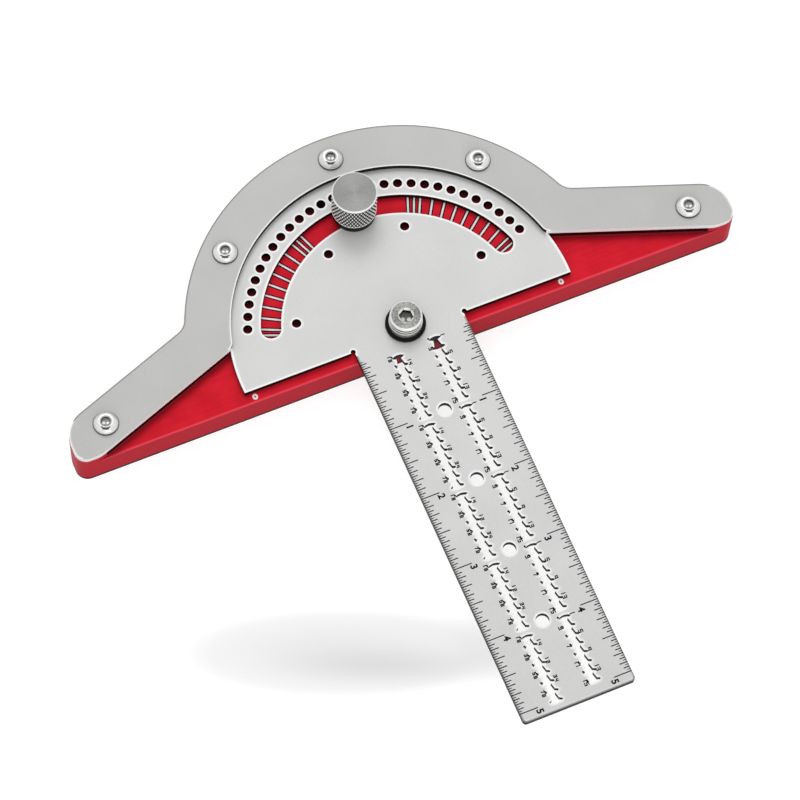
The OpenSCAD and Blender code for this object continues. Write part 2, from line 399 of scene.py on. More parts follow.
    def edge(self, reach: float, start: float = 0.9995, full: float = 0.965) -> Socket:
        """Finds the strip along the outer edges.

        Args:
            reach: How far from a point edges are looked for, in millimetres.
            start: How alike the normals near a point are where the strip starts.
            full: How alike they are where it is full.

        Returns:
            1 near an edge and 0 away from all of them.
        """
        face = self.normal()
        soft = self.add("ShaderNodeBevel", {"Radius": reach * MM}, samples=8).outputs[0]
        return self.span(self.vector("DOT_PRODUCT", soft, face), start, full)

    def relief(self, height: Socket, depth: float, bevel: float) -> Socket:
        """Gives fine relief and softened edges.

        Args:
            height: The relief's height, from 0 to 1.
            depth: The relief's depth, in millimetres.
            bevel: The edges' radius, in millimetres.

        Returns:
            The shading normal.
        """
        edge = self.add("ShaderNodeBevel", {"Radius": bevel * MM}, samples=4).outputs[0]
        inputs = {"Height": height, "Distance": depth * MM, "Strength": 1.0, "Normal": edge}
        return self.add("ShaderNodeBump", inputs).outputs[0]

    def finish(self, roughness: Value, metallic: Value, normal: Socket, specular: float = 0.5) -> Material:
        """Joins the colour so far and the other parts to a Principled shader.

        Args:
            roughness: The roughness.
            metallic: The share of metal.
            normal: The shading normal.
            specular: The level of the plain reflection.

        Returns:
            The finished material.
        """
        inputs = {"Base Color": self.colour, "Roughness": roughness, "Metallic": metallic, "Normal": normal}
        inputs["Specular IOR Level"] = specular
        shader = self.add("ShaderNodeBsdfPrincipled", inputs)
        self.add("ShaderNodeOutputMaterial", {"Surface": shader.outputs[0]})
        return self.holder


Mask = Callable[[Shade], Socket]


@dataclass(frozen=True)
class RedAnodised:
    """Satin red anodising on aluminium, blotched a little, with a painted highlight on its edges and painted
    shade on its front, inner walls, foot and hidden floor. Sizes in millimetres.
    """

    light: Colour = (0.74, 0.016, 0.034)
    dark: Colour = (0.60, 0.011, 0.025)
    # Painted shade: a darker red for the upright faces, as if they got less light.
    front: Colour = (0.50, 0.009, 0.026)
    front_share: float = 0.75
    # Painted highlight colour along the outer edges.
    edge: Colour = (0.92, 0.07, 0.11)
    edge_reach: float = 1.2
    edge_share: float = 0.8
    # Near black of the painted shade on the inner walls, the foot and the ledge under the blade.
    shadow: Colour = (0.020, 0.002, 0.003)
    inner_line: float = 36.0
    inner_radius: float = 60.0
    inner_front: float = -5.5
    inner_end: float = 107.0
    foot_line: float = 1.1
    # Painted shade: darker rings on the floor under the plate's index holes.
    track: Colour = (0.12, 0.006, 0.010)
    tracks: tuple[Point2, ...] = ((48.0, 52.0), (32.6, 36.3))
    chord: float = -2.9
    root: Point2 = (8.5, 15.5)
    root_rise: Point2 = (3.5, 6.5)
    root_share: float = 0.95
    # Painted shadow of the arms on the floor.
    gloom: Colour = (0.17, 0.004, 0.007)
    gloom_lines: Point2 = (27.2, 30.2)
    gloom_radius: float = 54.9
    gloom_share: float = 0.75
    floor_gap: float = 0.02
    line_stretch: Point3 = (30.0, 1500.0, 1500.0)
    line_share: float = 0.35
    blotch: float = 140.0
    grain: float = 2800.0
    roughness: float = 0.45
    metallic: float = 0.30
    specular: float = 0.05
    grain_depth: float = 0.006
    bevel: float = 0.12

    def material(self, heights: Heights) -> Material:
        """Builds the material.

        Args:
            heights: Heights of the faces that it tells apart.

        Returns:
            The material.
        """
        shade = Shade(Slot.RED.value)
        lines = shade.noise(1.0, 4.0, shade.stretched(self.line_stretch))
        blotch = shade.noise(self.blotch)
        blast = shade.noise(self.grain, 4.0)
        wall = shade.wall()
        height = shade.height()
        shade.mottle(shade.blend(lines, blotch, self.line_share), self.dark, self.light)
        # Painted shade: the upright faces take the darker red.
        shade.lay(self.front, wall, self.front_share)
        # Painted highlight along the outer edges.
        shade.lay(self.edge, shade.edge(self.edge_reach), self.edge_share)
        x, y, _ = shade.parts(shade.place())
        across = shade.math("ABSOLUTE", x)
        away = shade.past_arms()
        radius = shade.radius()
        above = shade.more(height, heights.floor + self.floor_gap)
        before = shade.less(away, self.inner_line)
        within = shade.math("MAXIMUM", before, shade.less(radius, self.inner_radius))
        behind = shade.more(y, self.inner_front * MM)
        short = shade.less(across, self.inner_end * MM)
        # Painted shade: the inner upright faces round the recess go near black.
        shade.lay(self.shadow, above, wall, within, behind, short)
        # Painted shadow: a dark line along the foot of the faces.
        shade.lay(self.shadow, shade.less(height, self.foot_line), shade.less(shade.upward(), 0.9))
        # Painted shade on the floor under the plate, seen through its index holes.
        covered = shade.more(y, self.chord * MM)
        for low, high in self.tracks:
            shade.lay(self.track, shade.among(radius, low, high), covered)
        # Painted shadow: the ledge and upper front go dark under the blade's root.
        under = shade.span(across, self.root[0] * MM, self.root[1] * MM, 1.0, 0.0)
        rise = shade.span(height, *self.root_rise, 0.0, self.root_share)
        shade.lay(self.shadow, under, shade.off(covered), rise)
        # Painted shadow: the floor darkens towards the arms' inner edges.
        near = shade.span(away, *self.gloom_lines, 0.0, self.gloom_share)
        shade.lay(self.gloom, near, shade.more(radius, self.gloom_radius), shade.off(wall))
        metal = shade.both(shade.off(wall), self.metallic)
        normal = shade.relief(blast, self.grain_depth, self.bevel)
        return shade.finish(shade.rough(blast, self.roughness), metal, normal, self.specular)


@dataclass(frozen=True)
class SatinSheet:
    """Bead-blasted metal sheet with a painted highlight along its edges and painted shade on its cut faces.

    Attributes:
        plain: Gives 1 where the edges get a painted dark outline in place of the painted highlight.
        bare: Gives 1 where the edges are neither.
        bright_wall: Gives 1 where an upright face gets a painted highlight. Without it all get painted shade.
        ring: Radius in millimetres beyond which the head's level face gets the painted highlight too.
    """

    name: Slot
    light: Colour
    dark: Colour
    plain: Mask
    bare: Mask | None = None
    bright_wall: Mask | None = None
    ring: float | None = None
    chord: float = -3.1
    # Painted highlight for the edges, the head's ring and the bright walls.
    polished: Colour = (0.97, 0.97, 0.96)
    # Painted shade for the cut faces.
    cut_face: Colour = (0.004, 0.004, 0.005)
    # Painted dark outline along the plain edges.
    outline: Colour = (0.22, 0.22, 0.21)
    outline_limits: Point2 = (0.97, 0.86)
    edge_limits: Point2 = (0.9995, 0.965)
    edge_reach: float = 1.6
    grain: float = 2400.0
    grain_share: float = 0.6
    cloud: float = 60.0
    roughness: float = 0.46
    metallic: float = 0.35
    specular: float = 0.08
    grain_depth: float = 0.010
    bevel: float = 0.10

    def material(self) -> Material:
        """Builds the material.

        Returns:
            The material.
        """
        shade = Shade(self.name.value)
        blast = shade.noise(self.grain, 5.0)
        cloud = shade.noise(self.cloud)
        wall = shade.wall()
        plain = self.plain(shade)
        strip = shade.edge(self.edge_reach, *self.edge_limits)
        if self.bare is not None:
            strip = shade.both(strip, shade.off(self.bare(shade)))
        shade.mottle(shade.blend(blast, cloud, self.grain_share), self.dark, self.light)
        # Painted highlight along the edges.
        shade.lay(self.polished, strip, shade.off(plain))
        # Painted shade: a dark outline along the plain edges.
        shade.lay(self.outline, shade.edge(self.edge_reach, *self.outline_limits), plain)
        # Painted highlight: a bright ring on the head's level face near the band.
        if self.ring is not None:
            head = shade.more(shade.parts(shade.place())[1], self.chord * MM)
            shade.lay(self.polished, shade.more(shade.radius(), self.ring), head)
        # Painted shade: the upright cut faces go near black.
        shade.lay(self.cut_face, wall)
        # Painted highlight on the upright faces that the mask picks.
        if self.bright_wall is not None:
            shade.lay(self.polished, wall, self.bright_wall(shade))
        metal = shade.both(shade.off(wall), self.metallic)
        normal = shade.relief(blast, self.grain_depth, self.bevel)
        return shade.finish(shade.rough(blast, self.roughness), metal, normal, self.specular)


@dataclass(frozen=True)
class Machined:
    """Turned or machined metal with fine tool marks round an upright axis. Sizes in millimetres."""

    name: Slot
    light: Colour
    dark: Colour
    roughness: float
    centre: Point2 = (0.0, 0.0)
    metallic: float = 0.8
    ring_pitch: float = 0.12
    ring_share: float = 0.18
    ring_depth: float = 0.004
    grain: float = 2600.0
    spread: float = 0.2
    bevel: float = 0.08

    def material(self) -> Material:
        """Builds the material.

        Returns:
            The material.
        """
        shade = Shade(self.name.value)
        rings = shade.rings(shade.radius(self.centre), self.ring_pitch)
        blast = shade.noise(self.grain, 4.0)
        level = shade.math("ADD", shade.both(rings, self.ring_share), blast)
        shade.mottle(level, self.dark, self.light, self.spread)
        normal = shade.relief(level, self.ring_depth, self.bevel)
        return shade.finish(shade.rough(blast, self.roughness, 0.04, 0.05), self.metallic, normal)


@dataclass(frozen=True)
class TurnedSteel:
    """Turned steel: a matt face with a painted cone of sheen, painted highlights on the chamfers and sides,
    and painted shade in the grooves and the socket.

    Attributes:
        brim: Height above which a face belongs to the top, in millimetres.
        socket_radius: Radius of the hex socket's mouth, 0 without a socket.
    """

    name: str
    centre: Point2
    side_radius: float
    groove_depth: float
    brim: float
    socket_radius: float = 0.0
    face_light: Colour = (0.41, 0.41, 0.40)
    face_dark: Colour = (0.29, 0.29, 0.28)
    # Painted highlights for the chamfers and the sides.
    chamfer: Colour = (0.97, 0.97, 0.96)
    side: Colour = (0.96, 0.96, 0.95)
    # Painted shade for the grooves and the socket.
    groove: Colour = (0.006, 0.006, 0.006)
    groove_shares: Point2 = (0.10, 0.55)
    slopes: Point2 = (0.5, 0.9)
    floor_slopes: Point2 = (0.9, 0.998)
    socket: Colour = (0.20, 0.20, 0.18)
    glint: Colour = (0.99, 0.99, 0.97)
    glint_side: float = 1.0
    glint_drop: float = 0.3
    glint_radius: float = 0.85
    # Painted sheen: light and dark sectors round the turned face.
    sheen_share: float = 0.28
    sheen_turn: float = -1.2
    ring_pitch: float = 0.2
    ring_share: float = 0.06
    grain: float = 2600.0
    grain_share: float = 1.5
    roughness: float = 0.40
    metallic: float = 0.2
    specular: float = 0.2
    grain_depth: float = 0.006
    bevel: float = 0.04

    def sheen(self, shade: Shade) -> Socket:
        """Finds the light and dark sectors of painted sheen on a turned face.

        Args:
            shade: The material's nodes.

        Returns:
            The sectors, from -1 to 1.
        """
        x, y, _ = shade.parts(shade.place())
        dx = shade.math("SUBTRACT", x, self.centre[0] * MM)
        dy = shade.math("SUBTRACT", y, self.centre[1] * MM)
        turn = shade.math("ARCTAN2", dy, dx)
        return shade.math("SINE", shade.math("MULTIPLY_ADD", turn, 2.0, self.sheen_turn))

    def material(self) -> Material:
        """Builds the material.

        Returns:
            The material.
        """
        shade = Shade(self.name)
        radius = shade.radius(self.centre)
        blast = shade.noise(self.grain, 4.0)
        upward = shade.upward()
        side = shade.less(shade.height(), self.brim)
        # Painted sheen on the face.
        level = shade.math("MULTIPLY_ADD", self.sheen(shade), self.sheen_share, 0.5)
        level = shade.math("MULTIPLY_ADD", shade.rings(radius, self.ring_pitch), self.ring_share, level)
        level = shade.math("MULTIPLY_ADD", shade.math("SUBTRACT", blast, 0.5), self.grain_share, level)
        shade.mottle(level, self.face_dark, self.face_light, 0.5)
        # Painted highlight: the sides go near white.
        shade.lay(self.side, side)
        start, full = [self.side_radius - share * self.groove_depth for share in self.groove_shares]
        # Painted shade in the side grooves.
        shade.lay(self.groove, side, shade.span(radius, start, full))
        # Painted highlight on the chamfers.
        shade.lay(self.chamfer, shade.among(upward, *self.slopes), shade.more(shade.height(), self.brim))
        if self.socket_radius:
            # Painted shade in the socket, with painted glints on its floor.
            inside = shade.both(shade.less(radius, self.socket_radius), side)
            shade.lay(self.groove, inside)
            floor = shade.both(inside, shade.among(upward, *self.floor_slopes))
            shade.lay(self.socket, floor)
            glints = shade.glints([self.centre], self.glint_side, self.glint_drop, self.glint_radius)
            shade.lay(self.glint, floor, glints)
        normal = shade.relief(blast, self.grain_depth, self.bevel)
        return shade.finish(shade.rough(blast, self.roughness), self.metallic, normal, self.specular)


@dataclass(frozen=True)
class DomedSteel:
    """Bright screw heads: a shining dome with painted shading and glints, a painted dark rim, and painted
    shade in the socket. Sizes in millimetres.
    """

    name: str
    places: list[Point2]
    seat: float
    head: float
    mouth: float
    mouth_depth: float
    dome: Colour = (0.97, 0.97, 0.96)
    worn: Colour = (0.88, 0.88, 0.86)
    # The three colours below are painted shade and reflection.
    dull: Colour = (0.36, 0.36, 0.34)
    dusk: Colour = (0.10, 0.10, 0.095)
    black: Colour = (0.010, 0.010, 0.010)
    rim_height: float = 0.55
    ring: float = 0.42
    level: float = 0.9
    far_lean: Point2 = (-0.05, -0.35)
    far_share: float = 0.6
    corner: Point2 = (-0.5, -0.85)
    corner_lean: Point2 = (0.4, 0.8)
    near_lean: Point2 = (0.3, 0.7)
    bar_down: Point2 = (0.10, 0.45)
    bar_side: Point2 = (-0.12, 0.12)
    glint_side: float = 0.62
    glint_drop: float = 0.30
    glint_radius: float = 0.56
    grain: float = 2600.0
    roughness: float = 0.30
    metallic: float = 0.35
    specular: float = 0.2
    grain_depth: float = 0.004
    bevel: float = 0.04

    def material(self) -> Material:
        """Builds the material.

        Returns:
            The material.
        """
        shade = Shade(self.name)
        grain = shade.noise(self.grain, 4.0)
        height = shade.height()
        level = shade.more(shade.upward(), self.level)
        down = shade.facing(DOWNWARD)
        side = shade.facing(RIGHTWARD)
        away = shade.nearest_axis(self.places)
        shade.mottle(grain, self.worn, self.dome)
        # Painted shade: the dome greys where it leans away from the front.
        shade.lay(self.dull, shade.span(down, *self.far_lean, 0.0, self.far_share))
        # Painted shade on the rim: grey, darker to the back left, black to the front.
        rim = shade.less(height, self.seat + self.rim_height)
        shade.lay(self.dull, rim)
        corner = shade.facing(on_photo(*self.corner))
        shade.lay(self.dusk, rim, shade.span(corner, *self.corner_lean))
        shade.lay(self.black, rim, shade.span(down, *self.near_lean))
        # Painted reflection: a dark bar on the flat below the socket.
        shade.lay(self.dusk, shade.among(down, *self.bar_down), shade.among(side, *self.bar_side), level)
        # Painted shade in and round the socket, with painted glints on its floor.
        shade.lay(self.dull, shade.less(away, self.mouth + self.ring))
        mouth = shade.less(away, self.mouth)
        shade.lay(self.dusk, mouth)
        below = shade.both(mouth, shade.less(height, self.seat + self.head - self.mouth_depth))
        shade.lay(self.black, below)
        shade.lay(self.dull, below, level)
        glints = shade.glints(self.places, self.glint_side, self.glint_drop, self.glint_radius)
        shade.lay(self.dome, below, level, glints)
        normal = shade.relief(grain, self.grain_depth, self.bevel)
        return shade.finish(shade.rough(grain, self.roughness), self.metallic, normal, self.specular)


@dataclass(frozen=True)
class Fill:
    """Matt paint or enamel, as filled into engraved marks."""

    name: str
    light: Colour
    dark: Colour
    roughness: float = 0.6
    specular: float = 0.05
    grain: float = 5000.0
    spread: float = 0.2
    depth: float = 0.003
    bevel: float = 0.02

    def material(self) -> Material:
        """Builds the material.

        Returns:
            The material.
        """
        shade = Shade(self.name)
        grain = shade.noise(self.grain)
        shade.mottle(grain, self.dark, self.light, self.spread)
        normal = shade.relief(grain, self.depth, self.bevel)
        return shade.finish(self.roughness, 0.0, normal, self.specular)


@dataclass(frozen=True)
class BlackPolymer(Fill):
    """Matt black plastic with a faint grain."""

    name: str = Slot.BLACK.value
    light: Colour = (0.010, 0.010, 0.011)
    dark: Colour = (0.003, 0.003, 0.003)
    roughness: float = 0.5
    specular: float = 0.12
    grain: float = 3000.0
    spread: float = 0.15
    depth: float = 0.006
    bevel: float = 0.08


Profile = Callable[[float], float]
Ring = tuple[Profile | float | None, float]


def oval(wide: float, tall: float) -> Profile:
    """Returns the outline of an ellipse of two half axes, as its radius at every angle."""
    return lambda angle: wide * tall / math.hypot(tall * math.cos(angle), wide * math.sin(angle))


def hexagon(across: float) -> Profile:
    """Returns the outline of a hexagon of a width across its flats, as its radius at every angle."""
    sixth = math.pi / 3
    return lambda angle: across / 2 / math.cos((angle + sixth / 2) % sixth - sixth / 2)


@dataclass
class Solid:
    """Gathers closed shapes, in millimetres, into one mesh."""

    verts: list[Point3] = field(default_factory=list)
    faces: Faces = field(default_factory=list)

    def prism(self, outline: Iterable[Point2], layer: Layer) -> None:
        """Adds an upright prism.

        Args:
            outline: Its outline, anticlockwise.
            layer: Heights of its lower and upper face.
        """
        points = list(outline)
        count = len(points)
        start = len(self.verts)
        self.verts += [(x, y, height) for height in layer for x, y in points]
        self.faces.append(tuple(start + i for i in reversed(range(count))))
        self.faces.append(tuple(start + count + i for i in range(count)))
        for i in range(count):
            j = (i + 1) % count
            self.faces.append((start + i, start + j, start + count + j, start + count + i))

    def bar(self, a: Point2, b: Point2, width: float, layer: Layer, spare: float = 0.0) -> None:
        """Adds a straight bar from a to b.

        Args:
            a: Middle of its first end.
            b: Middle of its second end.
            width: Its width.
            layer: Heights of its lower and upper face.
            spare: How far it goes on beyond each end.
        """
        length = math.dist(a, b)
        ux = (b[0] - a[0]) / length
        uy = (b[1] - a[1]) / length
        nx = -uy * width / 2
        ny = ux * width / 2
        ax, ay = a[0] - ux * spare, a[1] - uy * spare
        bx, by = b[0] + ux * spare, b[1] + uy * spare
        self.prism([(ax - nx, ay - ny), (bx - nx, by - ny), (bx + nx, by + ny), (ax + nx, ay + ny)], layer)

    def lathe(self, rings: list[Ring], centre: Point2, segments: int, split: bool = False) -> None:
        """Adds a closed solid about an upright axis.

        Args:
            rings: Its rings, from the axis at the bottom round the outside to the axis at the top, or
                a closed loop off the axis, anticlockwise seen with the radius to the right. A ring is
                a height with a radius, with an outline, or with None for a point on the axis.
            centre: The axis.
            segments: Faces round it.
            split: Cuts every face into two triangles, with diagonals that take turns.
        """
        rows: list[list[int]] = []
        for radius, height in rings:
            count = 1 if radius is None else segments
            rows.append([len(self.verts) + i for i in range(count)])
            for i in range(count):
                angle = 2 * math.pi * i / segments
                r = radius(angle) if callable(radius) else radius or 0.0
                self.verts.append((centre[0] + r * math.cos(angle), centre[1] + r * math.sin(angle), height))
        pairs = list(zip(rows, rows[1:]))
        if len(rows[0]) > 1:
            pairs.append((rows[-1], rows[0]))
        for row, (low, high) in enumerate(pairs):
            for i in range(segments):
                j = (i + 1) % segments
                loop = (low[i % len(low)], low[j % len(low)], high[j % len(high)], high[i % len(high)])
                face = tuple(dict.fromkeys(loop))
                if not split or len(face) < 4:
                    self.faces.append(face)
                elif (i + row) % 2:
                    self.faces += [(face[0], face[1], face[3]), (face[1], face[2], face[3])]
                else:
                    self.faces += [(face[0], face[1], face[2]), (face[0], face[2], face[3])]

    def piece(self, name: str, material: Material, body: Body, sharp: float = 0.0) -> Object:
        """Turns the gathered shapes into an object of the scene.

        Args:
            name: The object's name.
            material: Its material.
            body: The body that it rides on.
            sharp: Edges below this angle, in degrees, are shaded smooth. 0 leaves all flat.

        Returns:
            The object.
        """
        mesh = bpy.data.meshes.new(name)
        mesh.from_pydata([(x * MM, y * MM, z * MM) for x, y, z in self.verts], [], self.faces)
        mesh.validate()
        if sharp:
            mesh.shade_smooth()
            mesh.set_sharp_from_angle(angle=math.radians(sharp))
        mesh.materials.append(material)
        obj = linked(name, mesh)
        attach(obj, body.value)
        log.info("%s: %d faces on %s", name, len(self.faces), body.value)
        return obj


@dataclass
class Lettering:
    """Numerals as thin closed plates, read along -Y with their tops towards +X."""

    weight: float = 0.035
    curve_steps: int = 3
    merge_steps: float = 1e5
    glyphs: dict[str, Glyph] = field(default_factory=dict)

    def glyph(self, text: str) -> Glyph:
        """Makes the mesh of a text once, centred, one unit tall and one unit thick.

        Args:
            text: The digits.

        Returns:
            Its vertices and faces.
        """
        if text not in self.glyphs:
            curve = bpy.data.curves.new("glyph", "FONT")
            curve.body = text
            curve.extrude = 0.5
            curve.resolution_u = self.curve_steps
            curve.offset = self.weight
            obj = linked("glyph", curve)
            bpy.context.view_layer.update()
            mesh = bpy.data.meshes.new_from_object(obj.evaluated_get(bpy.context.evaluated_depsgraph_get()))
            self.glyphs[text] = self.measured(mesh)
            bpy.data.objects.remove(obj)
            bpy.data.curves.remove(curve)
            bpy.data.meshes.remove(mesh)
        return self.glyphs[text]

    def measured(self, mesh: bpy.types.Mesh) -> Glyph:
        """Merges a glyph's vertices and brings it to unit height.

        Args:
            mesh: The mesh of the text.

        Returns:
            Its vertices and faces.
        """
        merged: dict[tuple[int, ...], int] = {}
        verts: list[Point3] = []
        index: list[int] = []
        for v in mesh.vertices:
            key = tuple(round(part * self.merge_steps) for part in v.co)
            if key not in merged:
                merged[key] = len(verts)
                verts.append(tuple(v.co))
            index.append(merged[key])
        xs = [v[0] for v in verts]
        ys = [v[1] for v in verts]
        middle = ((min(xs) + max(xs)) / 2, (min(ys) + max(ys)) / 2)
        tall = max(ys) - min(ys)
        verts = [((x - middle[0]) / tall, (y - middle[1]) / tall, z + 0.5) for x, y, z in verts]
        faces = [tuple(dict.fromkeys(index[i] for i in p.vertices)) for p in mesh.polygons]
        return verts, [f for f in faces if len(f) > 2]

    def write(self, solid: Solid, text: str, at: Point2, tall: float, layer: Layer) -> None:
        """Adds a text to a solid.

        Args:
            solid: The solid.
            text: The digits.
            at: The text's middle.
            tall: Height of the digits.
            layer: Heights of the plates' lower and upper face.
        """
        verts, faces = self.glyph(text)
        start = len(solid.verts)
        thick = layer.high - layer.low
        solid.verts += [(at[0] + y * tall, at[1] - x * tall, layer.low + z * thick) for x, y, z in verts]
        solid.faces += [tuple(start + i for i in f) for f in faces]


@dataclass(frozen=True)
class StrokeDigits:
    """Small digits drawn from straight bars, read along -Y with their tops towards +X.

    Attributes:
        corners: Points of a digit's box, by letter: across it and up it, for a height of 1.
        lines: The letters that each digit's lines run through.
    """

    corners: tuple[tuple[str, Point2], ...] = (
        ("a", (0.0, 1.0)), ("b", (0.6, 1.0)), ("c", (0.0, 0.5)), ("d", (0.6, 0.5)), ("e", (0.0, 0.0)),
        ("f", (0.6, 0.0)), ("g", (0.3, 1.0)), ("h", (0.3, 0.0)), ("i", (0.1, 0.5)), ("j", (0.25, 0.0)))
    lines: tuple[tuple[str, str], ...] = (
        ("1", "hg"), ("2", "abdcef"), ("3", "abfe id"), ("4", "acd bf"), ("5", "bacdfe"), ("7", "abj"),
        ("8", "efbae cd"), ("9", "fbacd"))
    half_wide: float = 0.3
    half_tall: float = 0.5
    stroke: float = 0.34
    advance: float = 0.95

    def write(self, solid: Solid, text: str, at: Point2, tall: float, layer: Layer) -> None:
        """Adds a number to a solid.

        Args:
            solid: The solid.
            text: The digits.
            at: The number's middle.
            tall: Height of the bars' middles.
            layer: Heights of the bars' lower and upper face.
        """
        corners = dict(self.corners)
        lines = dict(self.lines)
        for index, digit in enumerate(text):
            shift = (index - (len(text) - 1) / 2) * self.advance - self.half_wide
            for line in lines[digit].split():
                places = [corners[letter] for letter in line]
                low = at[0] - self.half_tall * tall
                spots = [(low + v * tall, at[1] - (u + shift) * tall) for u, v in places]
                for a, b in zip(spots, spots[1:]):
                    solid.bar(a, b, self.stroke, layer, self.stroke / 2)


@dataclass
class BladeMarks:
    """Graduations of both edges, numerals of the rule and labels of the ladders. Sizes in millimetres.

    Attributes:
        inner_ends: How far in a tick reaches, for each step in 1/32 inch that its number divides by.
        right_labels: Shifts of the right ladder's even and odd labels from its middle.
        left_labels: The same for the left ladder.
    """

    half_width: float = 18.68
    zero: float = -6.4
    inches: int = 5
    parts: int = 32
    eighths: int = 8
    fine_width: float = 0.24
    coarse_width: float = 0.34
    sunk: float = 0.02
    proud: float = 0.012
    numeral_x: float = 12.5
    numeral_drop: float = 1.35
    numeral_tall: float = 2.4
    ladder_x: float = 6.65
    label_tall: float = 1.25
    label_lift: float = 0.2
    right_labels: Point2 = (2.75, -2.50)
    left_labels: Point2 = (2.82, -2.75)
    fraction_tall: float = 0.95
    fraction_step: float = 0.62
    fraction_lean: float = 0.062
    notch_x: float = -2.0
    notch_lift: float = 0.25
    notch_radius: float = 0.36
    notch_sides: int = 10
    inner_ends: tuple[Point2, ...] = ((32, 12.7), (16, 14.5), (8, 15.4), (4, 16.0), (2, 16.7), (1, 17.5))

    def tick_end(self, part: int) -> float:
        """Returns how far in a tick reaches, for its number of 1/32 inch."""
        return next(end for step, end in self.inner_ends if part % step == 0)

    def ticks(self, solid: Solid, layer: Layer) -> None:
        """Adds the graduations of both edges.

        Args:
            solid: The solid that takes them.
            layer: Heights of their lower and upper face.
        """
        for part in range(1, self.inches * self.parts + 1):
            y = self.zero - part * INCH / self.parts
            width = self.fine_width if part % 2 else self.coarse_width
            for side in Side:
                inner, outer = side.value * self.tick_end(part), side.value * self.half_width
                solid.bar((inner, y), (outer, y), width, layer)

    def notch_end(self, solid: Solid, at: Point2, layer: Layer) -> None:
        """Adds the dark spot at the left end of a pencil notch.

        Args:
            solid: The solid that takes it.
            at: The notch's place on its ladder.
            layer: Heights of its lower and upper face.
        """
        turns = [2 * math.pi * i / self.notch_sides for i in range(self.notch_sides)]
        x = at[0] + self.notch_x
        y = at[1] + self.notch_lift
        outline = [(x + self.notch_radius * math.cos(t), y + self.notch_radius * math.sin(t)) for t in turns]
        solid.prism(outline, layer)

    def odd_sixteenths(self, solid: Solid, digits: StrokeDigits, top: float, layer: Layer) -> None:
        """Labels one inch of the right ladder.

        Args:
            solid: The solid that takes the labels.
            digits: The labels' maker.
            top: Where the inch begins.
            layer: Heights of the labels' lower and upper face.
        """
        step = INCH / self.eighths
        for index in range(self.eighths):
            y = top - step / 2 - index * step + self.label_lift
            self.notch_end(solid, (self.ladder_x, y), layer)
            at = (self.ladder_x + self.right_labels[index % 2], y)
            digits.write(solid, str(2 * index + 1), at, self.label_tall, layer)

    def fractions(self, solid: Solid, digits: StrokeDigits, top: float, layer: Layer) -> None:
        """Labels one inch of the left ladder with eighths in their lowest terms.

        Args:
            solid: The solid that takes the labels.
            digits: The labels' maker.
            top: Where the inch begins.
            layer: Heights of the labels' lower and upper face.
        """
        for index in range(1, self.eighths):
            y = top - index * INCH / self.eighths + self.label_lift
            self.notch_end(solid, (-self.ladder_x, y), layer)
            x = -self.ladder_x + self.left_labels[index % 2]
            shared = math.gcd(index, self.eighths)
            for value, way in ((index // shared, 1), (self.eighths // shared, -1)):
                at = (x + way * self.fraction_lean, y + way * self.fraction_step)
                digits.write(solid, str(value), at, self.fraction_tall, layer)

    def build(self, heights: Heights, black: Material) -> None:
        """Builds the marks.

        Args:
            heights: Heights of the part.
            black: The marks' fill.
        """
        layer = Layer(heights.plate_top - self.sunk, heights.plate_top + self.proud)
        lettering = Lettering()
        digits = StrokeDigits()
        ticks = Solid()
        self.ticks(ticks, layer)
        ticks.piece("blade_graduations", black, Body.BLADE)
        text = Solid()
        for inch in range(self.inches):
            top = self.zero - inch * INCH
            for side in Side:
                at = (side.value * self.numeral_x, top - INCH - self.numeral_drop)
                lettering.write(text, str(inch + 1), at, self.numeral_tall, layer)
            self.odd_sixteenths(text, digits, top, layer)
            self.fractions(text, digits, top, layer)
        text.piece("blade_numerals", black, Body.BLADE)


@dataclass
class FenceMarks:
    """White lines on the base below the arc slot with painted shade beside them, and the zero marks beside the
    blade, in millimetres.
    """

    slot_r: float = 42.6
    slot_w: float = 6.5
    angles: tuple[float, ...] = (24.1, 26.7, 29.2, 34.2, 39.2, 44.2, 49.2, 54.2, 59.3, 64.3, 69.3, 71.9)
    lean: float = 3.3
    line_width: float = 0.62
    bed_width: float = 1.45
    overrun: float = 1.2
    sunk: float = 0.02
    proud: float = 0.038
    bed_proud: float = 0.018
    zero_places: tuple[Point2, ...] = ((-53.2, -4.5), (52.3, -4.15))
    zero_outer: Point2 = (0.88, 1.02)
    zero_inner: Point2 = (0.28, 0.40)
    zero_segments: int = 32

    def build(self, heights: Heights, white: Material, dark: Material) -> None:
        """Builds the marks.

        Args:
            heights: Heights of the part.
            white: The marks' fill.
            dark: The painted shade beside the lines.
        """
        low = heights.floor - self.sunk
        line = Layer(low, heights.floor + self.proud)
        shade_bed = Layer(low, heights.floor + self.bed_proud)
        # Painted shade: dark beds under the white lines, wider than them.
        lines = Solid()
        shade_beds = Solid()
        reach = self.slot_w / 2 + self.overrun
        for angle in self.angles:
            for side in Side:
                turn = math.radians(angle) * side.value
                lean = math.radians(angle - self.lean) * side.value
                x, y = self.slot_r * math.sin(turn), self.slot_r * math.cos(turn)
                dx, dy = reach * math.sin(lean), reach * math.cos(lean)
                ends = ((x - dx, y - dy), (x + dx, y + dy))
                lines.bar(*ends, self.line_width, line)
                shade_beds.bar(*ends, self.bed_width, shade_bed)
        outer = oval(*self.zero_outer)
        inner = oval(*self.zero_inner)
        loop = [(inner, line.low), (outer, line.low), (outer, line.high), (inner, line.high)]
        for at in self.zero_places:
            lines.lathe(loop, at, self.zero_segments)
        lines.piece("fence_marks", white, Body.FENCE)
        shade_beds.piece("fence_mark_shade", dark, Body.FENCE)


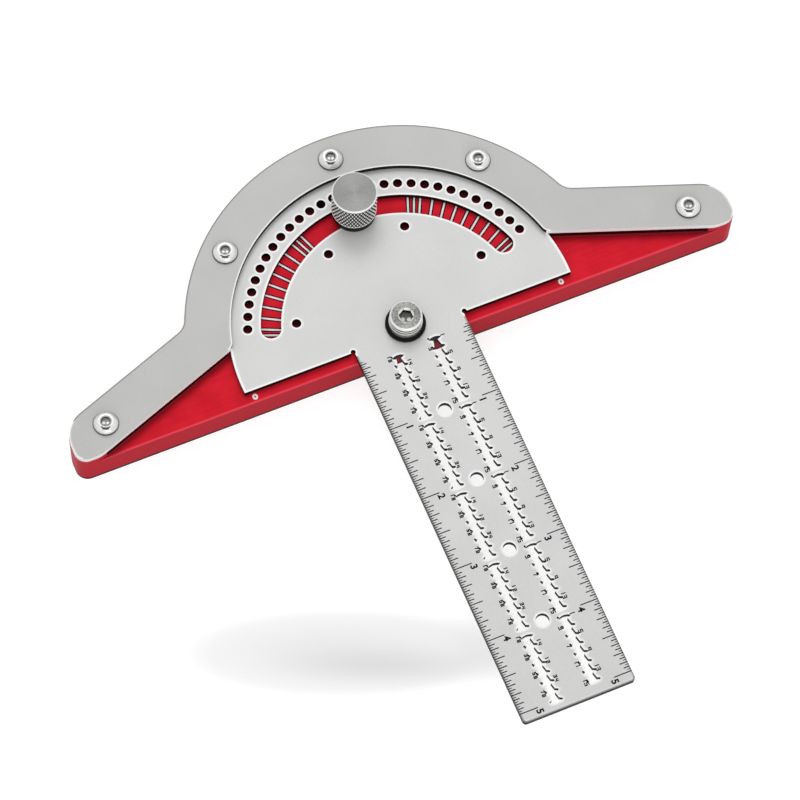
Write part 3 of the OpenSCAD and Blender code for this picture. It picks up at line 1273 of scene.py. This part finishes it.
@dataclass
class Knob:
    """The knurled lock knob with turned ends. Sizes in millimetres."""

    cells: int = 40
    rise: float = 2.5
    knurl_depth: float = 0.36
    plain: float = 0.20
    chamfer: float = 0.42
    crown: float = 0.12
    land: float = 0.02
    steps: int = 6
    flat_share: float = 0.34
    sharp: float = 15.0

    def knurl(self, radius: float, row: int) -> Profile:
        """Cuts crossed grooves into a circle.

        Args:
            radius: The circle's radius.
            row: How many steps up the knurl it lies.

        Returns:
            The radius at every angle.
        """
        def groove(share: float) -> float:
            """Returns how deep one groove is at a share of its cell, from 0 to 1."""
            return 1.0 - abs(2.0 * (share % 1.0) - 1.0)

        def outline(angle: float) -> float:
            """Finds the deeper of the two crossed grooves.

            Args:
                angle: The angle.

            Returns:
                The radius there.
            """
            turn = angle * self.cells / (2 * math.pi)
            rise = row / self.steps / 2
            deep = max(groove(turn + rise), groove(turn - rise))
            return radius - self.knurl_depth * max(0.0, deep - self.flat_share) / (1.0 - self.flat_share)
        return outline

    def build(self) -> None:
        """Builds the knob in place of the plain one."""
        plain = Round.from_node("lock_knob")
        radius, bottom, top = plain.radius, plain.bottom, plain.top
        first = bottom + self.chamfer + self.plain
        last = top - self.chamfer - self.plain
        rows = round((last - first) / self.rise) * 2 * self.steps
        rings: list[Ring] = [(None, bottom), (radius - self.chamfer, bottom)]
        rings += [(radius, bottom + self.chamfer), (radius, first - self.land)]
        rings += [(self.knurl(radius, row), first + (last - first) * row / rows) for row in range(rows + 1)]
        rings += [(radius, last + self.land), (radius, top - self.chamfer), (radius - self.chamfer, top)]
        rings += [(radius - 3 * self.chamfer, top - self.crown / 2), (None, top - self.crown)]
        solid = Solid()
        solid.lathe(rings, plain.centre, self.cells * self.steps, split=True)
        brim = top - self.chamfer - self.land
        steel = TurnedSteel("knurled_steel", plain.centre, radius, self.knurl_depth, brim).material()
        knob = solid.piece("knurled_knob", steel, Body.KNOB, self.sharp)
        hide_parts("lock_knob")


@dataclass
class SocketScrew:
    """What the part's screws share: a chamfered shank and a hex socket. Sizes in millimetres."""

    head: float
    shank_radius: float
    chamfer: float
    across: float
    mouth: float
    mouth_depth: float
    socket_depth: float
    drill_depth: float
    segments: int
    sharp: float

    def shank(self, bottom: float, seat: float) -> list[Ring]:
        """Returns the rings of the shank, from its end up to the head's seat."""
        wide = self.shank_radius
        return [(None, bottom), (wide - self.chamfer, bottom), (wide, bottom + self.chamfer), (wide, seat)]

    def socket(self, top: float) -> list[Ring]:
        """Shapes the hex socket.

        Args:
            top: Height of its mouth.

        Returns:
            Its rings, from the mouth down.
        """
        flats = hexagon(self.across)
        floor = top - self.socket_depth
        point = floor - self.drill_depth
        return [(self.mouth, top), (flats, top - self.mouth_depth), (flats, floor), (None, point)]


@dataclass
class PivotScrew(SocketScrew):
    """The pivot's cap screw with two turned grooves and a chamfered hex socket."""

    head: float = 3.9
    shank_radius: float = 3.0
    chamfer: float = 0.55
    across: float = 4.0
    mouth: float = 2.6
    mouth_depth: float = 0.6
    socket_depth: float = 2.4
    drill_depth: float = 0.3
    segments: int = 72
    sharp: float = 25.0
    spare: float = 0.12
    foot: float = 0.15
    brim_gap: float = 0.02
    groove_heights: tuple[float, ...] = (0.85, 2.3)
    groove_width: float = 0.95
    groove_depth: float = 0.25
    face_light: Colour = (0.50, 0.50, 0.48)
    face_dark: Colour = (0.20, 0.20, 0.19)
    grain_share: float = 4.2

    def build(self) -> None:
        """Builds the screw in place of the plain one."""
        plain = Round.from_node("pivot_screw")
        radius = plain.radius + self.spare
        top = plain.top
        seat = top - self.head
        half = self.groove_width / 2
        deep = radius - self.groove_depth
        rings = self.shank(plain.bottom, seat) + [(radius - self.foot, seat), (radius, seat + self.foot)]
        for height in self.groove_heights:
            middle = seat + height
            rings += [(radius, middle - half), (deep, middle - half / 2)]
            rings += [(deep, middle + half / 2), (radius, middle + half)]
        rings += [(radius, top - self.chamfer), (radius - self.chamfer, top), *self.socket(top)]
        solid = Solid()
        solid.lathe(rings, (0.0, 0.0), self.segments)
        brim = top - self.mouth_depth - self.brim_gap
        finish = TurnedSteel("cap_steel", (0.0, 0.0), radius, self.groove_depth, brim, self.mouth,
                             self.face_light, self.face_dark, grain_share=self.grain_share)
        screw = solid.piece("pivot_cap_screw", finish.material(), Body.FENCE, self.sharp)
        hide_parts("pivot_screw")


@dataclass
class BandScrews(SocketScrew):
    """The five domed screws that hold the cover band, and the painted shade rings round their heads."""

    head: float = 2.2
    shank_radius: float = 2.0
    chamfer: float = 0.4
    across: float = 2.5
    mouth: float = 1.46
    mouth_depth: float = 0.12
    socket_depth: float = 0.75
    drill_depth: float = 0.2
    segments: int = 48
    sharp: float = 30.0
    left_arm: Point2 = (-100.4, 2.87)
    right_arm: Point2 = (99.95, 3.0)
    arc_radius: float = 62.05
    arc_angles: tuple[float, ...] = (-45.0, 0.0, 45.0)
    head_radius: float = 3.9
    flat_radius: float = 2.2
    rim: float = 0.35
    dome_steps: int = 7
    joint: float = 0.30
    joint_inside: float = 0.2
    joint_half: float = 0.03

    def places(self) -> list[Point2]:
        """Lists the screws.

        Returns:
            Their axes.
        """
        turns = [math.radians(angle) for angle in self.arc_angles]
        arc = [(self.arc_radius * math.sin(t), self.arc_radius * math.cos(t)) for t in turns]
        return [self.left_arm, self.right_arm, *arc]

    def dome(self, seat: float) -> list[Ring]:
        """Shapes the head.

        Args:
            seat: Height of its seat.

        Returns:
            Its rings, from the seat up to the flat.
        """
        rings: list[Ring] = [(self.head_radius, seat)]
        for step in range(self.dome_steps + 1):
            turn = math.pi / 2 * step / self.dome_steps
            wide = self.flat_radius + (self.head_radius - self.flat_radius) * math.cos(turn)
            rings.append((wide, seat + self.rim + (self.head - self.rim) * math.sin(turn)))
        return rings

    def build(self, heights: Heights, grey: Material) -> None:
        """Builds the screws in place of the plain ones.

        Args:
            heights: Heights of the part.
            grey: Finish of the painted shade rings round the heads.
        """
        seat = heights.band_top
        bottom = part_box("band_screws")[0].z / MM
        rings = self.shank(bottom, seat) + self.dome(seat) + self.socket(seat + self.head)
        # Painted shade: a thin grey ring round each head where it meets the band.
        inner = self.head_radius - self.joint_inside
        outer = self.head_radius + self.joint
        low, high = seat - self.joint_half, seat + self.joint_half
        loop = [(inner, low), (outer, low), (outer, high), (inner, high)]
        screws = Solid()
        shade_rings = Solid()
        for place in self.places():
            screws.lathe(rings, place, self.segments)
            shade_rings.lathe(loop, place, self.segments)
        finish = DomedSteel("domed_steel", self.places(), seat, self.head, self.mouth, self.mouth_depth)
        obj = screws.piece("domed_screws", finish.material(), Body.FENCE, self.sharp)
        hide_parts("band_screws")
        shade_rings.piece("screw_contact_shade", grey, Body.FENCE)


@dataclass
class Dressing:
    """Gives every CAD node its finish."""

    finishes: dict[str, Material]

    def apply(self) -> None:
        """Puts each finish in its nodes' material slots."""
        for name, node in frame["nodes"].items():
            material = self.finishes[name]
            if node.material_slots:
                for slot in node.material_slots:
                    slot.material = material
            else:
                node.data.materials.append(material)
            log.info("%s: %s", name, material.name)


@dataclass(frozen=True)
class SoftShadow:
    """A faint oval shade on the floor, its size given in the photograph's pixels.

    Attributes:
        core: Share of the oval that has the full depth.
        across: Pixels to the photograph's right for a millimetre along X and along Y.
        along: Pixels down for the same.
    """

    centre: Point2
    wide: float
    tall: float
    depth: float
    core: float = 0.0
    across: Point2 = (2.993, -1.228)
    along: Point2 = (-1.157, -2.818)

    def value(self, shade: Shade) -> Socket:
        """Builds the shade.

        Args:
            shade: The floor's nodes.

        Returns:
            The shade's strength over the floor.
        """
        inputs = {0: shade.spot(), 1: (*self.centre, 0.0)}
        away = shade.add("ShaderNodeVectorMath", inputs, operation="SUBTRACT").outputs[0]
        shares = []
        for way, reach in ((self.across, self.wide), (self.along, self.tall)):
            share = shade.vector("DOT_PRODUCT", away, (way[0] / reach, way[1] / reach, 0.0))
            shares.append(shade.math("POWER", shade.math("ABSOLUTE", share), 2.0))
        reached = shade.math("SQRT", shade.math("ADD", *shares))
        inputs = {0: reached, 1: self.core, 2: 1.0, 3: self.depth, 4: 0.0}
        return shade.add("ShaderNodeMapRange", inputs, interpolation_type="SMOOTHSTEP").outputs[0]


@dataclass(frozen=True)
class Lamp:
    """A soft square lamp that faces the object: its place and side in metres, its power in watts."""

    name: str
    at: Point3
    size: float
    power: float

    def build(self) -> None:
        """Adds the lamp."""
        data = bpy.data.lights.new(self.name, "AREA")
        data.size = self.size
        data.energy = self.power
        obj = linked(self.name, data)
        obj.location = self.at
        obj.rotation_mode = "QUATERNION"
        obj.rotation_quaternion = (-Vector(self.at)).to_track_quat("-Z", "Y")


@dataclass
class Studio:
    """Floor, world, lamps and camera. Places in metres."""

    camera_at: Point3 = (-0.23120872, -0.46177245, 1.13055238)
    camera_target: Point3 = (-0.01183541, -0.02357196, 0.01355)
    camera_roll: float = 4.02571
    sensor: float = 36.0
    lens: float = 174.644
    clip: Point2 = (0.01, 20.0)
    floor_size: float = 4.0
    floor_z: float = -0.0001
    floor_colour: Colour = (0.50, 0.50, 0.50)
    floor_lift: float = 0.73
    shadows: tuple[SoftShadow, ...] = (
        SoftShadow((-59.6, -89.9), 205.0, 58.0, 0.22, 0.60),
        SoftShadow((-59.6, -89.9), 190.0, 50.0, 0.13),
        SoftShadow((-45.5, -100.8), 155.0, 27.0, 0.11))
    sky_span: Point2 = (-0.1, 0.9)
    sky_light: Point2 = (0.60, 0.72)
    lamps: tuple[Lamp, ...] = (
        Lamp("key", (0.25, 1.0, 1.3), 0.9, 4.0),
        Lamp("fill", (-0.9, -0.7, 1.2), 1.2, 1.2),
        Lamp("front", (-0.2, -1.5, 0.5), 1.2, 6.0))

    def camera(self) -> None:
        """Places the camera at the photograph's viewpoint."""
        data = bpy.data.cameras.new("camera")
        data.sensor_width = self.sensor
        data.lens = self.lens
        data.clip_start, data.clip_end = self.clip
        obj = linked("camera", data)
        obj.location = self.camera_at
        look = Vector(self.camera_target) - Vector(self.camera_at)
        roll = Quaternion((0.0, 0.0, 1.0), math.radians(self.camera_roll))
        obj.rotation_mode = "QUATERNION"
        obj.rotation_quaternion = look.to_track_quat("-Z", "Y") @ roll
        bpy.context.scene.camera = obj

    def world(self) -> None:
        """Makes a soft sky that shows plain white to the camera."""
        shade = Shade("studio", "worlds")
        bpy.context.scene.world = shade.holder
        upward = shade.parts(shade.add("ShaderNodeTexCoord").outputs["Generated"])[2]
        light = shade.span(upward, *self.sky_span, *self.sky_light)
        sky = shade.add("ShaderNodeBackground", {"Color": WHITE, "Strength": light})
        white = shade.add("ShaderNodeBackground", {"Color": WHITE})
        seen = shade.add("ShaderNodeLightPath").outputs["Is Camera Ray"]
        mix = shade.add("ShaderNodeMixShader", {0: seen, 1: sky.outputs[0], 2: white.outputs[0]})
        shade.add("ShaderNodeOutputWorld", {"Surface": mix.outputs[0]})

    def floor(self) -> None:
        """Lays a pale floor that keeps the object's shadow and reads white to the camera."""
        half = self.floor_size / 2
        corners = [(-half, -half), (half, -half), (half, half), (-half, half)]
        mesh = bpy.data.meshes.new("floor")
        mesh.from_pydata([(x, y, self.floor_z) for x, y in corners], [], [(0, 1, 2, 3)])
        shade = Shade("floor")
        diffuse = shade.add("ShaderNodeBsdfDiffuse", {"Color": self.floor_colour})
        path = shade.add("ShaderNodeLightPath")
        seen = shade.math("MAXIMUM", path.outputs["Is Camera Ray"], path.outputs["Is Glossy Ray"])
        lift: Value = self.floor_lift
        for shadow in self.shadows:
            lift = shade.math("SUBTRACT", lift, shadow.value(shade))
        glow = shade.add("ShaderNodeEmission", {"Color": WHITE, "Strength": shade.both(seen, lift)})
        both = shade.add("ShaderNodeAddShader", {0: diffuse.outputs[0], 1: glow.outputs[0]})
        shade.add("ShaderNodeOutputMaterial", {"Surface": both.outputs[0]})
        mesh.materials.append(shade.holder)
        linked("floor", mesh)

    def build(self) -> None:
        """Builds the studio."""
        bpy.context.scene.view_settings.view_transform = "Standard"
        self.camera()
        self.world()
        self.floor()
        for lamp in self.lamps:
            lamp.build()
        log.info("studio built")


def blade_sides(shade: Shade, half: float = 17.9, root: float = -4.5, end: float = -136.0) -> Socket:
    """Finds the blade's outer faces.

    Args:
        shade: The blade's nodes.
        half: How far from the middle the ruled edges begin, in millimetres.
        root: Where they begin along Y.
        end: Where the blade's end begins.

    Returns:
        1 along the ruled edges and the end.
    """
    x, y, _ = shade.parts(shade.place())
    wide = shade.more(shade.math("ABSOLUTE", x), half * MM)
    return shade.math("MAXIMUM", shade.both(wide, shade.less(y, root * MM)), shade.less(y, end * MM))


def arm_walls(shade: Shade, arc: float = 55.8) -> Socket:
    """Returns 0 on the cover band's inner arc, of a radius in millimetres, and 1 beyond it."""
    return shade.more(shade.radius(), arc)


def arm_edges(shade: Shade, arc: float = 57.0, line: float = 33.0) -> Socket:
    """Returns 1 along the arms' inner edges, beyond an arc and before a line square to the arms."""
    return shade.both(shade.more(shade.radius(), arc), shade.less(shade.past_arms(), line))


def band_outside(shade: Shade, arc: float = 69.2, line: float = 44.4) -> Socket:
    """Returns 1 along the cover band's outer outline, beyond an arc and a line square to the arms."""
    return shade.both(shade.more(shade.radius(), arc), shade.more(shade.past_arms(), line))


def finishes(heights: Heights) -> dict[Slot, Material]:
    """Builds the finish of every slot.

    Args:
        heights: Heights of the part.

    Returns:
        The materials by slot.
    """
    knob_at = Round.from_node("lock_knob").centre
    band = SatinSheet(Slot.BAND, (0.585, 0.585, 0.58), (0.525, 0.525, 0.515), band_outside,
                      arm_edges, arm_walls, edge_limits=(0.96, 0.88))
    plate = SatinSheet(Slot.PLATE, (0.74, 0.74, 0.735), (0.67, 0.67, 0.665), blade_sides, ring=55.4)
    return {
        Slot.RED: RedAnodised().material(heights),
        Slot.BAND: band.material(),
        Slot.PLATE: plate.material(),
        Slot.BRIGHT: Machined(Slot.BRIGHT, (0.85, 0.85, 0.84), (0.62, 0.62, 0.61), 0.3).material(),
        Slot.TURNED: Machined(Slot.TURNED, (0.72, 0.72, 0.70), (0.50, 0.50, 0.49), 0.32, knob_at).material(),
        Slot.BRONZE: Machined(Slot.BRONZE, (0.60, 0.40, 0.18), (0.45, 0.28, 0.12), 0.35).material(),
        Slot.INSERT: Machined(Slot.INSERT, (0.45, 0.45, 0.46), (0.33, 0.33, 0.34), 0.4).material(),
        Slot.BLACK: BlackPolymer().material(),
    }


def main() -> None:
    """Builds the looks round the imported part, in order."""
    logging.basicConfig(level=logging.INFO, format="%(message)s")
    heights = Heights.from_frame()
    made = finishes(heights)
    slots = {part["node"]: Slot(part["material_slot"]) for part in frame["record"]["subparts"]}
    Dressing({node: made[slot] for node, slot in slots.items()}).apply()
    black = Fill("black_fill", (0.012, 0.012, 0.012), (0.004, 0.004, 0.004)).material()
    white = Fill("white_fill", (0.99, 0.99, 0.98), (0.94, 0.94, 0.93)).material()
    # Painted shade beside the fence's white lines.
    dark = Fill("groove_shade_fill", (0.05, 0.003, 0.006), (0.02, 0.002, 0.003)).material()
    # Painted shade round the band screws' heads.
    grey = Fill("contact_shade_grey", (0.30, 0.30, 0.29), (0.22, 0.22, 0.21)).material()
    BladeMarks().build(heights, black)
    FenceMarks().build(heights, white, dark)
    Knob().build()
    PivotScrew().build()
    BandScrews().build(heights, grey)
    Studio().build()


if __name__ == "__main__":
    main()
